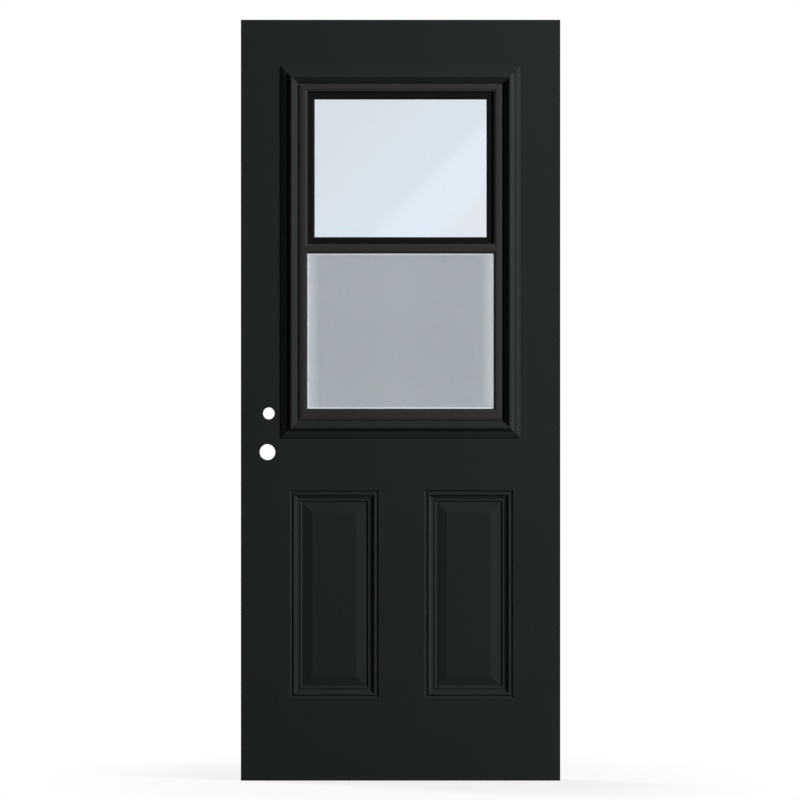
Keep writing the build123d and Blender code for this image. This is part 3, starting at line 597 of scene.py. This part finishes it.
class DOOR_OT_glazing(bpy.types.Operator):
    """Finish both sealed glass units and the dark bars round the fixed one"""
    bl_idname = "door.glazing"
    bl_label = "Finish glazing"

    def execute(self, context):
        paint, glass = context.scene.door_paint, context.scene.door_glass
        # The bars round the fixed glass get their own matt black, darkened further as painted shade of the
        # recess.
        bars = satin_paint("matt_black_bar", paint.dark_bar, 0.6, paint.texture_size, specular=0.05)
        dress(bars, "upper_left_bar", "upper_right_bar", "upper_bottom_bar", "upper_top_bar")
        dress(clear_glass("clear_glass", glass.tint, glass.index), "upper_glass_outer", "upper_glass_inner",
              "sash_glass_outer", "sash_glass_inner")
        dress(perforated_spacer("perforated_spacer"), "upper_spacer", "sash_spacer")
        dress(plain_rubber("glazing_rubber", (0.007, 0.007, 0.007)), "upper_edge_seal", "sash_edge_seal",
              "upper_gasket", "sash_gasket", "setting_blocks")
        dress(plain_rubber("glazing_tape", (0.012, 0.012, 0.012), roughness=0.85), "upper_glazing_tape")
        return {"FINISHED"}


class DOOR_OT_screen(bpy.types.Operator):
    """Weave the insect mesh and finish the screen's bars and spline"""
    bl_idname = "door.screen"
    bl_label = "Make screen"

    def execute(self, context):
        settings = context.scene.door_screen
        low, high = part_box("screen_mesh")
        radius = settings.strand / 2
        yarn = screen_yarn("screen_yarn", settings)
        width, height = high.x - low.x, high.z - low.z
        mesh = strand_tree().grow("woven_mesh", {
            "Width": width,
            "Height": height,
            "Upright": math.floor((width - settings.strand) / settings.pitch_across) + 1,
            "Level": math.floor((height - settings.strand) / settings.pitch_up) + 1,
            "Pitch across": settings.pitch_across,
            "Pitch up": settings.pitch_up,
            "Radius": radius,
            "Sides": settings.sides,
            "Corner": Vector((low.x, low.y + 2 * radius, low.z)),
            "Material": yarn,
        })
        fold = 0.0004
        ring = [
            (low, (low.x + fold, high.y, high.z)),
            ((high.x - fold, low.y, low.z), high),
            ((low.x + fold, low.y, low.z), (high.x - fold, high.y, low.z + fold)),
            ((low.x + fold, low.y, high.z - fold), (high.x - fold, high.y, high.z)),
        ]
        edge = add_piece("mesh_fold", boxes_mesh("mesh_fold", ring, yarn))
        for piece in (mesh, edge):
            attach(piece, "door")
        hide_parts("screen_mesh")
        paint = context.scene.door_paint
        # The screen's bars reuse that black, with its painted shade.
        bars = satin_paint("screen_bar_paint", paint.dark_bar, 0.5, paint.texture_size, specular=0.08)
        dress(bars, "screen_left_bar", "screen_right_bar", "screen_top_bar", "screen_bottom_bar")
        dress(plain_rubber("spline_rubber", (0.009, 0.009, 0.009)), "screen_spline")
        return {"FINISHED"}


class DOOR_OT_latches(bpy.types.Operator):
    """Finish the slide latches and rib their finger pads"""
    bl_idname = "door.latches"
    bl_label = "Finish latches"

    def execute(self, context):
        settings = context.scene.door_latch
        plastic = moulded_plastic("latch_plastic", settings.plastic, roughness=0.42)
        dress(plastic, "latch_housings", "left_latch_bolt", "right_latch_bolt")
        tree = rib_tree()
        flat = 0.0001
        for side in ("left", "right"):
            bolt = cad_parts[side + "_latch_bolt"]
            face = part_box(side + "_latch_bolt")[1].y
            top = [v.co for v in bolt.data.vertices if v.co.y > face - flat]
            left, right = min(v.x for v in top), max(v.x for v in top)
            bottom, crown = min(v.z for v in top), max(v.z for v in top)
            pitch = (right - left) / (settings.ribs + 1)
            ribs = tree.grow(side + "_pad_ribs", {
                "Count": settings.ribs,
                "Pitch": pitch,
                "Radius": settings.rib_radius,
                "Height": crown - bottom,
                "Start": Vector((left + pitch, face, (bottom + crown) / 2)),
                "Material": plastic,
            })
            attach(ribs, side + "_latch")
        return {"FINISHED"}


# The card that the fixed glass mirrors: its corners, and where its tones change. CARD_FOOT is a range of
# height. The other edges are ranges of the distance across less the height. Tones are emission colours.
CARD_DEPTH = -12.6
CARD_LOW = (-1.4, 0.2)
CARD_HIGH = (1.4, 3.4)
CARD_FOOT = (1.84, 1.88)
HAZE_EDGE = (-2.8, -2.3)
BAND_EDGE = (-2.12, -2.00)
CORNER_EDGE = (-1.78, -1.62)
PLAIN_TONE = (0.12, 0.12, 0.12)
HAZE_TONE = (0.57, 0.80, 1.24)
BAND_TONE = (1.86, 2.34, 3.25)
CORNER_TONE = (2.05, 1.36, 1.66)


class DOOR_OT_stage(bpy.types.Operator):
    """Set the floor, the plain studio light and the camera"""
    bl_idname = "door.stage"
    bl_label = "Set stage"

    def execute(self, context):
        settings = context.scene.door_stage
        self.floor(settings)
        self.world(settings)
        self.reflection_card()
        self.lamps(settings)
        self.camera(context, settings)
        context.scene.view_settings.view_transform = "Standard"
        return {"FINISHED"}

    def floor(self, settings):
        """A pale floor that keeps the door's shadow close to it and turns white further off."""
        form = bmesh.new()
        bmesh.ops.create_circle(form, cap_ends=True, segments=96, radius=settings.floor_radius)
        mesh = bpy.data.meshes.new("floor")
        form.to_mesh(mesh)
        form.free()
        finish = Finish("pale_floor", Roughness=0.9, Specular_IOR_Level=0.1)
        bounce, pale = (0.08, 0.08, 0.08), (0.34, 0.34, 0.34)
        white_in_shadow = 0.78
        seen = finish.seen()
        finish.base(finish.blend(seen, bounce, pale))
        across, depth, _ = finish.across()
        reach = finish.number("ShaderNodeMath", {"operation": "SQRT"}, across * across + depth * depth)
        far = finish.ramp(reach, settings.shadow_near, settings.shadow_far)
        glow = seen * (far * (1 - white_in_shadow) + white_in_shadow)
        white = finish.node("ShaderNodeEmission", Strength=1.0).outputs[0]
        mix = finish.node("ShaderNodeMixShader", None, glow, finish.shader.outputs[0], white)
        finish.output(mix.outputs[0])
        mesh.materials.append(finish.material)
        add_piece("floor", mesh)

    def world(self, settings):
        """White behind the door, and a soft studio in reflections, brighter towards the key lamp."""
        world = bpy.data.worlds.new("studio")
        world.use_nodes = True
        bpy.context.scene.world = world
        sky = ShaderNodes(world.node_tree)
        direction = sky.node("ShaderNodeTexCoord").outputs["Generated"]
        parts = sky.node("ShaderNodeSeparateXYZ", Vector=direction)
        middle, slope = 0.14, 0.10
        glossy = sky.ray("Glossy")
        shiny = glossy * (Number(sky, parts.outputs["X"]) * slope + middle)
        matt = (1 - glossy) * settings.fill
        seen = sky.seen()
        back = world.node_tree.nodes["Background"]
        sky.link(seen + (1 - seen) * (shiny + matt), back.inputs["Strength"])
        back.inputs["Color"].default_value = (1, 1, 1, 1)

    def reflection_card(self):
        """A card behind the camera that only reflections see. The fixed glass mirrors its slanting bands."""
        form = bmesh.new()
        (left, bottom), (right, top) = CARD_LOW, CARD_HIGH
        corners = ((left, bottom), (right, bottom), (right, top), (left, top))
        form.faces.new([form.verts.new((x, CARD_DEPTH, z)) for x, z in corners])
        mesh = bpy.data.meshes.new("reflection_card")
        form.to_mesh(mesh)
        form.free()
        finish = Finish("card_light")
        across, _, up = finish.across()
        slant = across - up
        above = finish.ramp(up, *CARD_FOOT)
        haze = finish.blend(finish.ramp(slant, *HAZE_EDGE) * above, PLAIN_TONE, HAZE_TONE)
        band = finish.blend(finish.ramp(slant, *CORNER_EDGE), BAND_TONE, CORNER_TONE)
        tone = finish.blend(finish.ramp(slant, *BAND_EDGE) * above, haze, band)
        finish.output(finish.node("ShaderNodeEmission", Color=tone).outputs[0])
        mesh.materials.append(finish.material)
        card = add_piece("reflection_card", mesh)
        for ray in ("camera", "diffuse", "transmission", "volume_scatter", "shadow"):
            setattr(card, "visible_" + ray, False)

    def lamps(self, settings):
        """A large soft lamp beside each face, a little above the door's middle."""
        target = Vector((0, 0, settings.centre_z))
        level, lift = math.cos(settings.lamp_rise), math.sin(settings.lamp_rise)
        for name, turn in (("key", settings.lamp_turn), ("room", settings.lamp_turn + math.pi)):
            towards = Vector((math.sin(turn) * level, -math.cos(turn) * level, lift))
            lamp = bpy.data.lights.new(name, "AREA")
            lamp.shape = "DISK"
            lamp.size = settings.lamp_size
            lamp.energy = settings.key_power
            light = bpy.data.objects.new(name, lamp)
            light.location = target + towards * settings.lamp_reach
            light.rotation_euler = (-towards).to_track_quat("-Z", "Y").to_euler()
            light.visible_camera = False
            light.visible_transmission = False
            bpy.context.scene.collection.objects.link(light)

    def camera(self, context, settings):
        """A long lens straight in front, so that the door's height fills the picture as photographed."""
        data = bpy.data.cameras.new("camera")
        camera = bpy.data.objects.new("camera", data)
        context.scene.collection.objects.link(camera)
        camera.location = (settings.centre_x, -settings.distance, settings.centre_z)
        camera.rotation_euler = (math.pi / 2, 0, 0)
        face = -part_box("exterior_skin")[0].y
        data.sensor_width = 36.0
        data.lens = data.sensor_width * (settings.distance - face) / settings.picture_height
        data.clip_end = 100.0
        context.scene.camera = camera


class DOOR_PT_finisher(bpy.types.Panel):
    """Sizes, colours and steps of the door's finish"""
    bl_label = "Door"
    bl_idname = "DOOR_PT_finisher"
    bl_space_type = "VIEW_3D"
    bl_region_type = "UI"
    bl_category = "Door"

    def draw(self, context):
        for step in STEPS:
            self.layout.operator(step.bl_idname)
        for name, group in SETTINGS.items():
            box = self.layout.box()
            box.label(text=group.__doc__)
            for setting in group.__annotations__:
                box.prop(getattr(context.scene, name), setting)


SETTINGS = {
    "door_paint": PaintSettings,
    "door_glass": GlassSettings,
    "door_screen": ScreenSettings,
    "door_latch": LatchSettings,
    "door_stage": StageSettings,
}
STEPS = (DOOR_OT_leaf, DOOR_OT_moulded_frames, DOOR_OT_surround, DOOR_OT_glazing, DOOR_OT_screen,
         DOOR_OT_latches, DOOR_OT_stage)


def register():
    for group in SETTINGS.values():
        bpy.utils.register_class(group)
    for name, group in SETTINGS.items():
        setattr(bpy.types.Scene, name, PointerProperty(type=group))
    for step in STEPS:
        bpy.utils.register_class(step)
    bpy.utils.register_class(DOOR_PT_finisher)


def unregister():
    bpy.utils.unregister_class(DOOR_PT_finisher)
    for step in reversed(STEPS):
        bpy.utils.unregister_class(step)
    for name, group in SETTINGS.items():
        delattr(bpy.types.Scene, name)
        bpy.utils.unregister_class(group)


def main():
    register()
    bpy.ops.door.leaf()
    bpy.ops.door.moulded_frames()
    bpy.ops.door.surround()
    bpy.ops.door.glazing()
    bpy.ops.door.screen()
    bpy.ops.door.latches()
    bpy.ops.door.stage()


if __name__ == "__main__":
    main()
